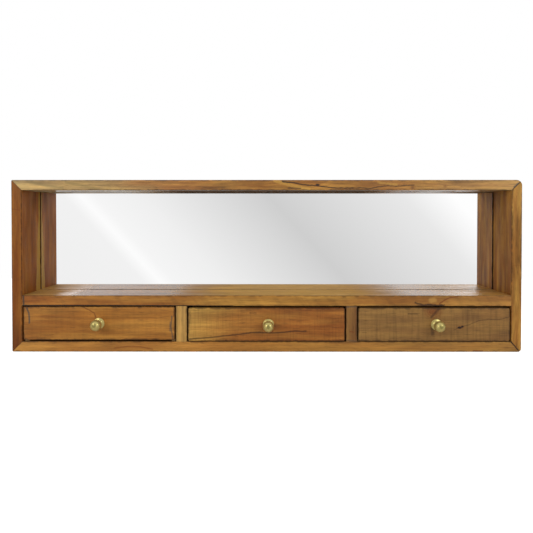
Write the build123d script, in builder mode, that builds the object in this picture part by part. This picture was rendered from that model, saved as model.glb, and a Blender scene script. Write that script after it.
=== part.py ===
from build123d import *

import math
import os

os.makedirs("parts", exist_ok=True)

# A long wooden wall mirror in a deep box frame, with a shelf under the glass and three drawers
# under the shelf. All sizes are in millimetres. X runs along the frame, +Z is up, and -Y is the
# front. The origin is the middle of the frame's underside, halfway through its depth.

# Outer frame
overall_width = 1200
overall_height = 405
overall_depth = 100
board_thickness = 24
arris_radius = 1.2
top_left_corner_radius = 3
top_right_corner_radius = 13
bottom_left_corner_radius = 3
bottom_right_corner_radius = 8

# Loose tongues that lock the mitres, stopped short of the front and back
tongue_thickness = 4
tongue_width = 12
tongue_stop = 14
tongue_from_inner_corner = 15

# Shelf and dividers, let into stopped housings
shelf_thickness = 25
divider_thickness = 26
drawer_bay_height = 84
middle_bay_width = 375
housing_depth = 6
housing_stop = 12

# Mirror glass, standing on the shelf in front of the back panel
glass_thickness = 4
glass_gap = 1
glass_arris = 0.6

# Back panel in a rebate round the frame
back_panel_thickness = 6
back_rebate = 8
back_panel_gap = 0.5

# Crown staples that hold the back panel
staple_width = 10
staple_wire = 1.2
staple_leg = 18
staple_sink = 0.2
staple_end_margin = 80
long_edge_staple_count = 6
shelf_staple_count = 5
fastener_room = 0.1

# Keyhole plates let into the back of the side boards, for hanging on two wall screws
hanger_width = 13
hanger_length = 46
hanger_thickness = 2
hanger_from_top = 60
hanger_entry_diameter = 8
hanger_slot_width = 4
hanger_slot_rise = 9
hanger_pocket_margin = 0.7
hanger_pocket_depth = 9
hanger_screw_diameter = 2.5
hanger_screw_head_diameter = 4.6
hanger_screw_length = 14
hanger_screw_from_end = 5
hanger_fit = 0.15

# Drawers: the fronts fill the bays with a small gap, and the sides run on the bottom board
drawer_front_thickness = 18
drawer_front_side_gap = 3
drawer_front_height_allowance = 5.8
drawer_front_lift = {"left": 4, "middle": 1.6, "right": 1.5}
drawer_front_corner_radius = {"left": 2.5, "middle": 4, "right": 5}
drawer_front_arris_radius = 1.4
drawer_front_lap = 8
drawer_side_thickness = 9
drawer_side_headroom = 16
drawer_back_thickness = 9
drawer_back_housing = 4
drawer_bottom_thickness = 4
drawer_bottom_groove_depth = 4
drawer_bottom_edge_gap = 0.5
drawer_bottom_above_runner = 5
drawer_running_gap = 0.3
drawer_stop_gap = 0.5

# Brads through the drawer sides into the front and back, and up through the bottom
brad_width = 1.2
brad_thickness = 1
brad_head_width = 2
brad_head_depth = 0.8
brad_length = 22
brad_from_edge = 14
bottom_brad_length = 14
bottom_brad_count = 3

# Turned brass knobs, each held by one screw from inside the drawer, not quite on its middle
knob_off_centre = {"left": 0, "middle": 4.5, "right": 5.5}
knob_rose_diameter = 26
knob_rose_edge = 1.4
knob_rose_waist = 3.2
knob_rose_waist_height = 2.4
knob_neck_diameter = 12
knob_bead_diameter = 16.5
knob_bead_start = 6.2
knob_bead_thickness = 2.6
knob_head_diameter = 25.5
knob_head_centre = 20.5
knob_head_start = 10.6
knob_head_shoulder = 14.5
knob_head_shoulder_radius = 11
knob_nose_angle = 6
knob_sides = 24
knob_screw_diameter = 4
knob_screw_head_diameter = 8
knob_screw_head_thickness = 2.4
knob_screw_reach = 9
knob_screw_clearance = 0.25
screw_sides = 10
knob_bore_spare = 1

# Planes and levels worked out from the sizes above
front_y = -overall_depth / 2
rear_y = overall_depth / 2
ledge_y = rear_y - back_panel_thickness
inside_x = overall_width / 2 - board_thickness
bottom_inside_z = board_thickness
top_inside_z = overall_height - board_thickness
shelf_under_z = bottom_inside_z + drawer_bay_height
shelf_top_z = shelf_under_z + shelf_thickness
side_bay_width = inside_x - middle_bay_width / 2 - divider_thickness
divider_x = (middle_bay_width + divider_thickness) / 2
side_bay_x = middle_bay_width / 2 + divider_thickness + side_bay_width / 2
carcass_inner_depth = ledge_y - front_y

rear_plane = Plane.XZ.offset(-rear_y)
ledge_plane = Plane.XZ.offset(-ledge_y)


def save(builder, name):
    """Label a finished piece and write it to its own file."""
    builder.part.label = name
    export_step(builder.part, f"parts/{name}.step")


def facing_rear(x, y, z):
    """A place on a rearward face, with its own Z axis pointing out of the back."""
    return Location(Plane(origin=(x, y, z), x_dir=(-1, 0, 0), z_dir=(0, 1, 0)))


def facing_sideways(x, y, z, side):
    """A place on an end face, with its own Z axis pointing away from the middle of the drawer."""
    return Location(Plane(origin=(x, y, z), x_dir=(0, 1, 0), z_dir=(side, 0, 0)))


def facing_down(x, y, z):
    """A place on an underside, with its own Z axis pointing down."""
    return Location(Plane(origin=(x, y, z), x_dir=(1, 0, 0), z_dir=(0, 0, -1)))


def spread(count, reach):
    """Evenly spaced places from -reach to +reach."""
    return [reach * (2 * i / (count - 1) - 1) for i in range(count)]


# Corners of the frame, seen from the front

def outer_corner(side, level):
    x = overall_width / 2 if side == "right" else -overall_width / 2
    return (x, overall_height if level == "top" else 0)


def inner_corner(side, level):
    x = inside_x if side == "right" else -inside_x
    return (x, top_inside_z if level == "top" else bottom_inside_z)


def mitre_angle(side, level):
    """Direction of a mitre from its inner to its outer corner, in degrees."""
    (x0, z0), (x1, z1) = inner_corner(side, level), outer_corner(side, level)
    return math.degrees(math.atan2(z1 - z0, x1 - x0))


def tongue_centre(side, level):
    """Middle of the loose tongue that crosses a mitre."""
    x, z = inner_corner(side, level)
    turn = math.radians(mitre_angle(side, level))
    return (x + tongue_from_inner_corner * math.cos(turn), z + tongue_from_inner_corner * math.sin(turn))


tongue_length = overall_depth - 2 * tongue_stop
tongue_plane = rear_plane.offset(tongue_stop)


def tongue(corner):
    """The loose tongue of one mitre. It is also the shape of the slots that hold it."""
    with BuildPart() as strip:
        with BuildSketch(tongue_plane):
            with Locations(tongue_centre(*corner)):
                Rectangle(tongue_thickness, tongue_width, rotation=mitre_angle(*corner))
        extrude(amount=tongue_length)
    return strip


# The outline of the whole frame with its worn, unevenly rounded corners
corner_radii = {
    ("left", "top"): top_left_corner_radius,
    ("right", "top"): top_right_corner_radius,
    ("left", "bottom"): bottom_left_corner_radius,
    ("right", "bottom"): bottom_right_corner_radius,
}
with BuildSketch() as frame_outline:
    with BuildLine():
        Polyline(
            outer_corner("left", "bottom"),
            outer_corner("right", "bottom"),
            outer_corner("right", "top"),
            outer_corner("left", "top"),
            close=True,
        )
    make_face()
    for corner, radius in corner_radii.items():
        fillet(frame_outline.vertices().sort_by_distance(outer_corner(*corner))[0], radius)


def mitred_board(start, end):
    """One board of the frame: mitred at both ends, slotted, rebated, with eased front arrises."""
    with BuildPart() as board:
        with BuildSketch(rear_plane):
            with BuildLine():
                Polyline(
                    outer_corner(*start),
                    outer_corner(*end),
                    inner_corner(*end),
                    inner_corner(*start),
                    close=True,
                )
            make_face()
            add(frame_outline.sketch, mode=Mode.INTERSECT)
        extrude(amount=overall_depth)
        front_edges = board.faces().sort_by(Axis.Y)[0].edges()
        mitres = [e for e in front_edges if min(abs(e.tangent_at(0.5).X), abs(e.tangent_at(0.5).Z)) > 0.1]
        straight_mitres = [e for e in mitres if e.geom_type == GeomType.LINE]
        fillet([e for e in front_edges if e not in straight_mitres], arris_radius)
        with BuildSketch(rear_plane):
            with Locations((0, (bottom_inside_z + top_inside_z) / 2)):
                Rectangle(2 * (inside_x + back_rebate), top_inside_z - bottom_inside_z + 2 * back_rebate)
        extrude(amount=back_panel_thickness, mode=Mode.SUBTRACT)
        for corner in (start, end):
            add(tongue(corner).part, mode=Mode.SUBTRACT)
    return board


# Places of the staples round the back panel: upright ones in the side boards, level ones elsewhere
rebate_middle = back_rebate / 2
row_reach = inside_x - staple_end_margin
niche_middle_z = (shelf_top_z + top_inside_z) / 2
shelf_middle_z = (shelf_under_z + shelf_top_z) / 2
top_z = top_inside_z + rebate_middle
bottom_z = bottom_inside_z - rebate_middle
top_staples = [facing_rear(x, rear_y, top_z) for x in spread(long_edge_staple_count, row_reach)]
bottom_staples = [facing_rear(x, rear_y, bottom_z) for x in spread(long_edge_staple_count, row_reach)]
shelf_staples = [facing_rear(x, rear_y, shelf_middle_z) for x in spread(shelf_staple_count, row_reach)]
side_staples = [
    facing_rear(x, rear_y, niche_middle_z) * Rotation(0, 0, 90)
    for x in (-inside_x - rebate_middle, inside_x + rebate_middle)
]
all_staples = top_staples + bottom_staples + shelf_staples + side_staples


def staple(sink, room):
    """A crown staple driven in below the surface. With room, it is the hole that takes it."""
    leg_x = (staple_width - staple_wire) / 2
    with BuildPart() as bent_wire:
        with BuildSketch(Plane.XY.offset(-sink)):
            Rectangle(staple_width + 2 * room, staple_wire + 2 * room)
        extrude(amount=sink - staple_sink - staple_wire)
        with BuildSketch(Plane.XY.offset(-sink)):
            with Locations((-leg_x, 0), (leg_x, 0)):
                Rectangle(staple_wire + 2 * room, staple_wire + 2 * room)
        extrude(amount=sink - staple_sink - staple_leg - room)
    return bent_wire.part


staple_hole = staple(sink=0, room=fastener_room)


def plate_screw(room):
    """A countersunk screw without its thread. With room, it is the hole that takes it."""
    head_radius = hanger_screw_head_diameter / 2 + room
    shank_radius = hanger_screw_diameter / 2 + room
    with BuildPart() as screw:
        with BuildSketch(Plane.XY):
            RegularPolygon(head_radius, side_count=screw_sides)
        with BuildSketch(Plane.XY.offset(shank_radius - head_radius)):
            RegularPolygon(shank_radius, side_count=screw_sides)
        loft(ruled=True)
        with BuildSketch(Plane.XY):
            RegularPolygon(shank_radius, side_count=screw_sides)
        extrude(amount=-hanger_screw_length - room)
    return screw.part


# Top board
with BuildPart() as top_board:
    add(mitred_board(("left", "top"), ("right", "top")).part)
    with Locations(*top_staples):
        add(staple_hole, mode=Mode.SUBTRACT)
save(top_board, "top_board")

# Bottom board, with a housing for the foot of each divider
with BuildPart() as bottom_board:
    add(mitred_board(("left", "bottom"), ("right", "bottom")).part)
    with BuildSketch(Plane.XY.offset(bottom_inside_z)):
        with Locations(*[(x, (front_y + housing_stop + ledge_y) / 2) for x in (-divider_x, divider_x)]):
            Rectangle(divider_thickness, carcass_inner_depth - housing_stop)
    extrude(amount=-housing_depth, mode=Mode.SUBTRACT)
    with Locations(*bottom_staples):
        add(staple_hole, mode=Mode.SUBTRACT)
save(bottom_board, "bottom_board")

# Side boards, with a housing for the end of the shelf and a routed seat for the keyhole plate
rim_middle_x = inside_x + (back_rebate + board_thickness) / 2
hanger_middle_z = overall_height - hanger_from_top
hanger_entry_z = hanger_middle_z - hanger_slot_rise / 2
hanger_screw_z = [
    hanger_middle_z - hanger_length / 2 + hanger_screw_from_end,
    hanger_middle_z + hanger_length / 2 - hanger_screw_from_end,
]
pocket_width = hanger_entry_diameter + 2 * hanger_pocket_margin
pocket_length = pocket_width + hanger_slot_rise

for side, direction in (("left", -1), ("right", 1)):
    with BuildPart() as side_board:
        add(mitred_board((side, "bottom"), (side, "top")).part)
        with BuildSketch(Plane.YZ.offset(direction * inside_x)):
            with Locations(((front_y + housing_stop + ledge_y) / 2, shelf_middle_z)):
                Rectangle(carcass_inner_depth - housing_stop, shelf_thickness)
        extrude(amount=direction * housing_depth, mode=Mode.SUBTRACT)
        with BuildSketch(rear_plane):
            with Locations((direction * rim_middle_x, hanger_middle_z)):
                Rectangle(hanger_width + 2 * hanger_fit, hanger_length + 2 * hanger_fit)
        extrude(amount=hanger_thickness, mode=Mode.SUBTRACT)
        with BuildSketch(rear_plane):
            with Locations((direction * rim_middle_x, hanger_middle_z)):
                SlotOverall(pocket_length, pocket_width, rotation=90)
        extrude(amount=hanger_pocket_depth, mode=Mode.SUBTRACT)
        with Locations(*[facing_rear(direction * rim_middle_x, rear_y, z) for z in hanger_screw_z]):
            add(plate_screw(fastener_room), mode=Mode.SUBTRACT)
        with Locations(*side_staples):
            add(staple_hole, mode=Mode.SUBTRACT)
    save(side_board, f"{side}_side_board")

# Loose tongues in the four mitres
for side, level in corner_radii:
    save(tongue((side, level)), f"mitre_tongue_{level}_{side}")

# Shelf, its ends notched to hide the housings, with a housing for the head of each divider
with BuildPart() as shelf_board:
    with BuildSketch(Plane.XY.offset(shelf_under_z)):
        with Locations((0, (front_y + ledge_y) / 2)):
            Rectangle(2 * inside_x, carcass_inner_depth)
        with Locations((0, (front_y + housing_stop + ledge_y) / 2)):
            Rectangle(2 * (inside_x + housing_depth), carcass_inner_depth - housing_stop)
    extrude(amount=shelf_thickness)
    fillet(shelf_board.faces().sort_by(Axis.Y)[0].edges().filter_by(Axis.X), arris_radius)
    with BuildSketch(Plane.XY.offset(shelf_under_z)):
        with Locations(*[(x, (front_y + housing_stop + ledge_y) / 2) for x in (-divider_x, divider_x)]):
            Rectangle(divider_thickness, carcass_inner_depth - housing_stop)
    extrude(amount=housing_depth, mode=Mode.SUBTRACT)
    with Locations(*shelf_staples):
        add(staple_hole, mode=Mode.SUBTRACT)
save(shelf_board, "shelf_board")

# Dividers between the drawers, notched at the front top and bottom
bay_middle_z = (bottom_inside_z + shelf_under_z) / 2
for side, x in (("left", -divider_x), ("right", divider_x)):
    with BuildPart() as divider:
        with BuildSketch(Plane.YZ.offset(x - divider_thickness / 2)):
            with Locations(((front_y + ledge_y) / 2, bay_middle_z)):
                Rectangle(carcass_inner_depth, drawer_bay_height)
            with Locations(((front_y + housing_stop + ledge_y) / 2, bay_middle_z)):
                Rectangle(carcass_inner_depth - housing_stop, drawer_bay_height + 2 * housing_depth)
        extrude(amount=divider_thickness)
        fillet(divider.faces().sort_by(Axis.Y)[0].edges().filter_by(Axis.Z), arris_radius)
    save(divider, f"{side}_divider")

# Mirror glass with a fine ground arris
with BuildPart() as mirror_glass:
    with BuildSketch(ledge_plane):
        with Locations((0, (shelf_top_z + top_inside_z - glass_gap) / 2)):
            Rectangle(2 * (inside_x - glass_gap), top_inside_z - glass_gap - shelf_top_z)
    extrude(amount=glass_thickness)
    chamfer(mirror_glass.faces().sort_by(Axis.Y)[0].edges(), glass_arris)
save(mirror_glass, "mirror_glass")

# Back panel
with BuildPart() as back_panel:
    with BuildSketch(rear_plane):
        with Locations((0, (bottom_inside_z + top_inside_z) / 2)):
            Rectangle(
                2 * (inside_x + back_rebate - back_panel_gap),
                top_inside_z - bottom_inside_z + 2 * (back_rebate - back_panel_gap),
            )
    extrude(amount=back_panel_thickness)
    with Locations(*all_staples):
        add(staple_hole, mode=Mode.SUBTRACT)
save(back_panel, "back_panel")

with BuildPart() as back_panel_staples:
    with Locations(*all_staples):
        add(staple(sink=staple_sink, room=0))
save(back_panel_staples, "back_panel_staples")

# Keyhole plates: a round entry hole and a narrow slot above it
for side, direction in (("left", -1), ("right", 1)):
    plate_x = direction * rim_middle_x
    with BuildPart() as hanger_plate:
        with BuildSketch(rear_plane):
            with Locations((plate_x, hanger_middle_z)):
                Rectangle(hanger_width, hanger_length)
            with Locations((plate_x, hanger_entry_z)):
                Circle(hanger_entry_diameter / 2, mode=Mode.SUBTRACT)
            with Locations((plate_x, hanger_entry_z + hanger_slot_rise / 2)):
                SlotCenterToCenter(hanger_slot_rise, hanger_slot_width, rotation=90, mode=Mode.SUBTRACT)
        extrude(amount=hanger_thickness)
        with Locations(*[facing_rear(plate_x, rear_y, z) for z in hanger_screw_z]):
            add(plate_screw(fastener_room), mode=Mode.SUBTRACT)
    save(hanger_plate, f"hanger_plate_{side}")

with BuildPart() as hanger_screws:
    with Locations(*[facing_rear(s * rim_middle_x, rear_y, z) for s in (-1, 1) for z in hanger_screw_z]):
        add(plate_screw(0))
save(hanger_screws, "hanger_screws")


def brad(length, room):
    """A T-headed brad driven flush into a surface. With room, it is the hole that takes it."""
    with BuildPart() as nail:
        with BuildSketch(Plane.XY):
            Rectangle(brad_head_width + 2 * room, brad_thickness + 2 * room)
        extrude(amount=-brad_head_depth)
        with BuildSketch(Plane.XY):
            Rectangle(brad_width + 2 * room, brad_thickness + 2 * room)
        extrude(amount=-length - room)
    return nail.part


# The turned profile of a knob, as distance from the drawer face and radius: a flared rose, a
# waisted neck with a bead, and a head that is round in front and fuller behind
neck_radius = knob_neck_diameter / 2
rose_radius = knob_rose_diameter / 2
bead_end = knob_bead_start + knob_bead_thickness
bead_middle = knob_bead_start + knob_bead_thickness / 2
head_radius = knob_head_diameter / 2
with BuildLine():
    rose_rim = Line((0, rose_radius), (knob_rose_edge, rose_radius))
    rose_sweep = ThreePointArc(
        (knob_rose_edge, rose_radius),
        (knob_rose_waist, neck_radius + knob_rose_waist_height),
        (knob_bead_start, neck_radius),
    )
    bead = ThreePointArc(
        (knob_bead_start, neck_radius), (bead_middle, knob_bead_diameter / 2), (bead_end, neck_radius)
    )
    neck = Line((bead_end, neck_radius), (knob_head_start, neck_radius))
    head_back = ThreePointArc(
        (knob_head_start, neck_radius),
        (knob_head_shoulder, knob_head_shoulder_radius),
        (knob_head_centre, head_radius),
    )
    head_front = CenterArc((knob_head_centre, 0), head_radius, 90, knob_nose_angle - 90)
knob_stations = [
    curve @ (i / steps)
    for curve, steps in (
        (rose_rim, 1),
        (rose_sweep, 3),
        (bead, 4),
        (neck, 1),
        (head_back, 4),
        (head_front, 5),
    )
    for i in range(steps)
] + [head_front @ 1]



def knob_ring(station):
    """Corners of the many-sided round at one place along the knob's profile."""
    turns = [2 * math.pi * i / knob_sides for i in range(knob_sides)]
    return [Vector(station.Y * math.cos(turn), -station.X, station.Y * math.sin(turn)) for turn in turns]


# The knob and its blind screw hole. Flat facets join the rings from the rose to the nose.
rings = [knob_ring(station) for station in knob_stations]
facets = [
    Wire.make_polygon([near[i], near[i - 1], far[i - 1], far[i]])
    for near, far in zip(rings, rings[1:])
    for i in range(knob_sides)
]
ends = [Wire.make_polygon(rings[0]), Wire.make_polygon(rings[-1])]
with BuildPart() as turned_knob:
    add(Solid(Shell([Face(outline) for outline in facets + ends])))
    with BuildSketch(Plane.XZ):
        RegularPolygon(knob_screw_diameter / 2 + fastener_room, side_count=screw_sides)
    extrude(amount=knob_screw_reach + knob_bore_spare, mode=Mode.SUBTRACT)


# Drawers
runner_z = bottom_inside_z + drawer_running_gap
side_top_z = shelf_under_z - drawer_side_headroom
drawer_panel_z = runner_z + drawer_bottom_above_runner
back_under_z = drawer_panel_z + drawer_bottom_thickness
drawer_rear_y = ledge_y - drawer_stop_gap
front_inner_y = front_y + drawer_front_thickness
side_front_y = front_y + drawer_front_lap
front_height = drawer_bay_height - drawer_front_height_allowance
bays = {
    "left": (-side_bay_x, side_bay_width),
    "middle": (0, middle_bay_width),
    "right": (side_bay_x, side_bay_width),
}

for name, (bay_x, bay_width) in bays.items():
    box_width = bay_width - 2 * drawer_front_side_gap
    inner_width = box_width - 2 * drawer_side_thickness
    front_bottom_z = bottom_inside_z + drawer_front_lift[name]
    front_middle_z = front_bottom_z + front_height / 2
    knob_x = bay_x + knob_off_centre[name]
    brad_levels = [back_under_z + brad_from_edge, side_top_z - brad_from_edge]
    side_middle_x = (box_width - drawer_side_thickness) / 2
    front_brad_y = (side_front_y + front_inner_y) / 2
    back_brad_y = drawer_rear_y - drawer_back_thickness / 2
    side_brads = [
        facing_sideways(bay_x + s * box_width / 2, y, z, s)
        for s in (-1, 1)
        for y in (front_brad_y, back_brad_y)
        for z in brad_levels
    ]
    under_brads = [
        facing_down(bay_x + x, back_brad_y, drawer_panel_z)
        for x in spread(bottom_brad_count, inner_width / 2 - brad_from_edge)
    ]

    # Front: lapped over the ends of the sides, grooved for the bottom, bored for the knob screw
    with BuildPart() as drawer_front:
        with BuildSketch(Plane.XZ.offset(-front_inner_y)):
            with Locations((bay_x, front_middle_z)):
                RectangleRounded(box_width, front_height, drawer_front_corner_radius[name])
        extrude(amount=drawer_front_thickness)
        fillet(drawer_front.faces().sort_by(Axis.Y)[0].edges(), drawer_front_arris_radius)
        with BuildSketch(Plane.XZ.offset(-front_inner_y)):
            with Locations(*[(bay_x + s * side_middle_x, front_middle_z) for s in (-1, 1)]):
                Rectangle(drawer_side_thickness, front_height)
        extrude(amount=drawer_front_thickness - drawer_front_lap, mode=Mode.SUBTRACT)
        with BuildSketch(Plane.XZ.offset(-front_inner_y)):
            with Locations((bay_x, drawer_panel_z + drawer_bottom_thickness / 2)):
                Rectangle(inner_width, drawer_bottom_thickness)
        extrude(amount=drawer_bottom_groove_depth, mode=Mode.SUBTRACT)
        with BuildSketch(Plane.XZ.offset(-front_inner_y)):
            with Locations((knob_x, front_middle_z)):
                RegularPolygon(knob_screw_diameter / 2 + knob_screw_clearance, side_count=screw_sides)
        extrude(amount=drawer_front_thickness, mode=Mode.SUBTRACT)
        with Locations(*side_brads):
            add(brad(brad_length, fastener_room), mode=Mode.SUBTRACT)
    save(drawer_front, f"{name}_drawer_front")

    # Sides: grooved for the bottom and rebated at the rear for the back
    for side, direction in (("left", -1), ("right", 1)):
        inner_face_x = bay_x + direction * inner_width / 2
        with BuildPart() as drawer_side:
            with BuildSketch(Plane.YZ.offset(inner_face_x)):
                with Locations(((side_front_y + drawer_rear_y) / 2, (runner_z + side_top_z) / 2)):
                    Rectangle(drawer_rear_y - side_front_y, side_top_z - runner_z)
            extrude(amount=direction * drawer_side_thickness)
            with BuildSketch(Plane.YZ.offset(inner_face_x)):
                with Locations(((side_front_y + drawer_rear_y) / 2, (drawer_panel_z + back_under_z) / 2)):
                    Rectangle(drawer_rear_y - side_front_y, drawer_bottom_thickness)
            extrude(amount=direction * drawer_bottom_groove_depth, mode=Mode.SUBTRACT)
            with BuildSketch(Plane.YZ.offset(inner_face_x)):
                with Locations((drawer_rear_y - drawer_back_thickness / 2, (runner_z + side_top_z) / 2)):
                    Rectangle(drawer_back_thickness, side_top_z - runner_z)
            extrude(amount=direction * drawer_back_housing, mode=Mode.SUBTRACT)
            with Locations(*side_brads):
                add(brad(brad_length, fastener_room), mode=Mode.SUBTRACT)
        save(drawer_side, f"{name}_drawer_side_{side}")

    # Back: let into the sides, standing on the bottom
    with BuildPart() as drawer_back:
        with BuildSketch(Plane.XZ.offset(-drawer_rear_y)):
            with Locations((bay_x, (back_under_z + side_top_z) / 2)):
                Rectangle(inner_width + 2 * drawer_back_housing, side_top_z - back_under_z)
        extrude(amount=drawer_back_thickness)
        with Locations(*side_brads):
            add(brad(brad_length, fastener_room), mode=Mode.SUBTRACT)
        with Locations(*under_brads):
            add(brad(bottom_brad_length, fastener_room), mode=Mode.SUBTRACT)
    save(drawer_back, f"{name}_drawer_back")

    # Bottom: slid into its grooves from the rear and nailed up into the back
    panel_front_y = front_inner_y - drawer_bottom_groove_depth + drawer_bottom_edge_gap
    with BuildPart() as drawer_bottom:
        with BuildSketch(Plane.XY.offset(drawer_panel_z)):
            with Locations((bay_x, (panel_front_y + drawer_rear_y) / 2)):
                Rectangle(
                    inner_width + 2 * (drawer_bottom_groove_depth - drawer_bottom_edge_gap),
                    drawer_rear_y - panel_front_y,
                )
        extrude(amount=drawer_bottom_thickness)
        with Locations(*under_brads):
            add(brad(bottom_brad_length, fastener_room), mode=Mode.SUBTRACT)
    save(drawer_bottom, f"{name}_drawer_bottom")

    with BuildPart() as drawer_brads:
        with Locations(*side_brads):
            add(brad(brad_length, 0))
        with Locations(*under_brads):
            add(brad(bottom_brad_length, 0))
    save(drawer_brads, f"{name}_drawer_brads")

    with BuildPart() as drawer_knob:
        with Locations((knob_x, front_y, front_middle_z)):
            add(turned_knob.part)
    save(drawer_knob, f"{name}_drawer_knob")

    # Pan-headed screw from inside the drawer into the knob
    with BuildPart() as knob_screw:
        with BuildSketch(Plane.XZ.offset(-front_inner_y)):
            with Locations((knob_x, front_middle_z)):
                RegularPolygon(knob_screw_diameter / 2, side_count=screw_sides)
        extrude(amount=drawer_front_thickness + knob_screw_reach)
        with BuildSketch(Plane.XZ.offset(-front_inner_y)):
            with Locations((knob_x, front_middle_z)):
                RegularPolygon(knob_screw_head_diameter / 2, side_count=screw_sides)
        extrude(amount=-knob_screw_head_thickness)
        chamfer(knob_screw.faces().sort_by(Axis.Y)[-1].edges(), knob_screw_head_thickness / 3)
    save(knob_screw, f"{name}_drawer_knob_screw")
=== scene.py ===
# %% [markdown]
# # A wall mirror in a deep box frame, with a shelf and three drawers
#
# The object is a box of reclaimed hardwood boards. A mirror lies at the back of its upper part, and
# three drawers with brass knobs fill its lower part. The boards, the glass and the drawers come as
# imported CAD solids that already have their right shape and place. This lesson loads them, dresses
# each one in a procedural material, lathes the knobs, and lights the whole like a studio photograph.
# Everything is in metres, X runs along the frame, Z is up and the front faces -Y.

import math

import bpy
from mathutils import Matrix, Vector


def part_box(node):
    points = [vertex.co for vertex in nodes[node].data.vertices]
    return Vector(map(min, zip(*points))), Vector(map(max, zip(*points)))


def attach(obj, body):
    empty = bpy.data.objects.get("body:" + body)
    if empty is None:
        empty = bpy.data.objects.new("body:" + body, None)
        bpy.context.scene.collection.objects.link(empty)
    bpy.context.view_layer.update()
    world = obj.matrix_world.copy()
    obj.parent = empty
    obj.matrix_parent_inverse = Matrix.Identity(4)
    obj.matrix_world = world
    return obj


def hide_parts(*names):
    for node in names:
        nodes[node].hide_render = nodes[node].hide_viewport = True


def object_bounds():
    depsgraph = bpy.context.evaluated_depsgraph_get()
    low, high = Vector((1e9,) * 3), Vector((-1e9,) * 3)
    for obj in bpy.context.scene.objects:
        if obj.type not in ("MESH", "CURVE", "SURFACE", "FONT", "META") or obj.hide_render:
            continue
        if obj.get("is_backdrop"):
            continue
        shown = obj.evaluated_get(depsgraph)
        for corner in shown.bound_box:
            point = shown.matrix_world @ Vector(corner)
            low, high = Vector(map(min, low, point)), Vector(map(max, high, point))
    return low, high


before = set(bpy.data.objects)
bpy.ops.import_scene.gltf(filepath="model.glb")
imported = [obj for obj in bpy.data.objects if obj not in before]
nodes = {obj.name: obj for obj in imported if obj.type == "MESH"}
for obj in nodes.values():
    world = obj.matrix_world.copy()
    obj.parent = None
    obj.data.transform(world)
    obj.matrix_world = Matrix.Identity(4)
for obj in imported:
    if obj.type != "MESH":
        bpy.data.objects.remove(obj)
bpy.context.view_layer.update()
front_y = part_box("top_board")[0].y
MM_PER_M = 1000

# %% [markdown]
# ## The camera
#
# The photograph was taken a little over a metre away, with the lens at the height of the mirror. The
# object still sits below the middle of the picture, so the lens is shifted instead of tilted: a shift
# moves the picture without making upright boards lean. Only a fraction of a degree of tilt is left.
# The Standard view transform keeps colours as they are painted.

# %% Camera
CAMERA_PLACE = (0.0022, -1.1343, 0.323)
TILT_DOWN, TURN_LEFT = 0.73, 0.11
LENS, SENSOR_WIDTH = 31.18, 36
SHIFT_UP = -0.0859

camera_data = bpy.data.cameras.new("camera")
camera = bpy.data.objects.new("camera", camera_data)
bpy.context.scene.collection.objects.link(camera)
bpy.context.scene.camera = camera
camera.location = CAMERA_PLACE
camera.rotation_euler = (math.radians(90 - TILT_DOWN), 0, math.radians(TURN_LEFT))
camera_data.sensor_width = SENSOR_WIDTH
camera_data.lens = LENS
camera_data.shift_y = SHIFT_UP
bpy.context.scene.view_settings.view_transform = "Standard"
print("camera:", round(camera_data.lens, 2), "mm lens at", [round(c, 3) for c in camera.location])

# %% [markdown]
# ## Small helpers for shader nodes
#
# A material is a tree of nodes joined by links. Written out in full, each node takes a handful of
# lines, which hides what the tree does. These helpers put down a node, fill its inputs with numbers
# or with the outputs of other nodes, and hand back an output, so a tree reads like arithmetic.

# %% Helpers for shader nodes
def fill(tree, socket, value):
    """Set an input to a plain value, or join it to another node's output."""
    if isinstance(value, bpy.types.NodeSocket):
        tree.links.new(value, socket)
    else:
        socket.default_value = value


def put(tree, kind, inputs=None, **settings):
    """Put one node of a kind in a tree, with its settings and its inputs by name or number."""
    node = tree.nodes.new("ShaderNode" + kind)
    for name, value in settings.items():
        setattr(node, name, value)
    for name, value in (inputs or {}).items():
        fill(tree, node.inputs[name], value)
    return node


def calc(tree, operation, *values, clamp=False):
    """One sum on numbers, such as ADD or MULTIPLY."""
    node = put(tree, "Math", dict(enumerate(values)), operation=operation, use_clamp=clamp)
    return node.outputs[0]


def calc_vector(tree, operation, *values):
    """One sum on vectors. It gives back a vector, or a number for LENGTH and DOT_PRODUCT."""
    node = put(tree, "VectorMath", dict(enumerate(values)), operation=operation)
    return node.outputs["Value" if operation in ("LENGTH", "DOT_PRODUCT") else "Vector"]


def scale_vector(tree, vector, factor):
    """A vector made longer or shorter."""
    return put(tree, "VectorMath", {0: vector, 3: factor}, operation="SCALE").outputs["Vector"]


def split(tree, vector):
    """The X, Y and Z of a vector."""
    return put(tree, "SeparateXYZ", {0: vector}).outputs


def fade(tree, value, start, end, low=0.0, high=1.0, how="SMOOTHSTEP"):
    """A ramp from low to high while value goes from start to end, soft at both ends."""
    numbers = {"Value": value, "From Min": start, "From Max": end, "To Min": low, "To Max": high}
    return put(tree, "MapRange", numbers, interpolation_type=how).outputs["Result"]


def mix_colours(tree, share, first, second, how="MIX"):
    """Lay a share of the second colour over the first."""
    node = put(tree, "Mix", {0: share, 6: first, 7: second}, data_type="RGBA", blend_type=how)
    return node.outputs[2]


def ramp(tree, value, stops):
    """Colours along a value, from (position, colour) pairs."""
    node = put(tree, "ValToRGB", {0: value})
    for index, (position, colour) in enumerate(stops):
        elements = node.color_ramp.elements
        element = elements[index] if index < 2 else elements.new(position)
        element.position, element.color = position, colour
    return node.outputs[0]


def noise(tree, place, stretch, seed, detail=2.0, output="Fac"):
    """Noise that varies stretch times per metre along each axis."""
    at = calc_vector(tree, "MULTIPLY", place, stretch)
    numbers = {"Vector": at, "W": seed, "Scale": 1.0, "Detail": detail, "Roughness": 0.55}
    return put(tree, "TexNoise", numbers, noise_dimensions="4D").outputs[output]


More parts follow.
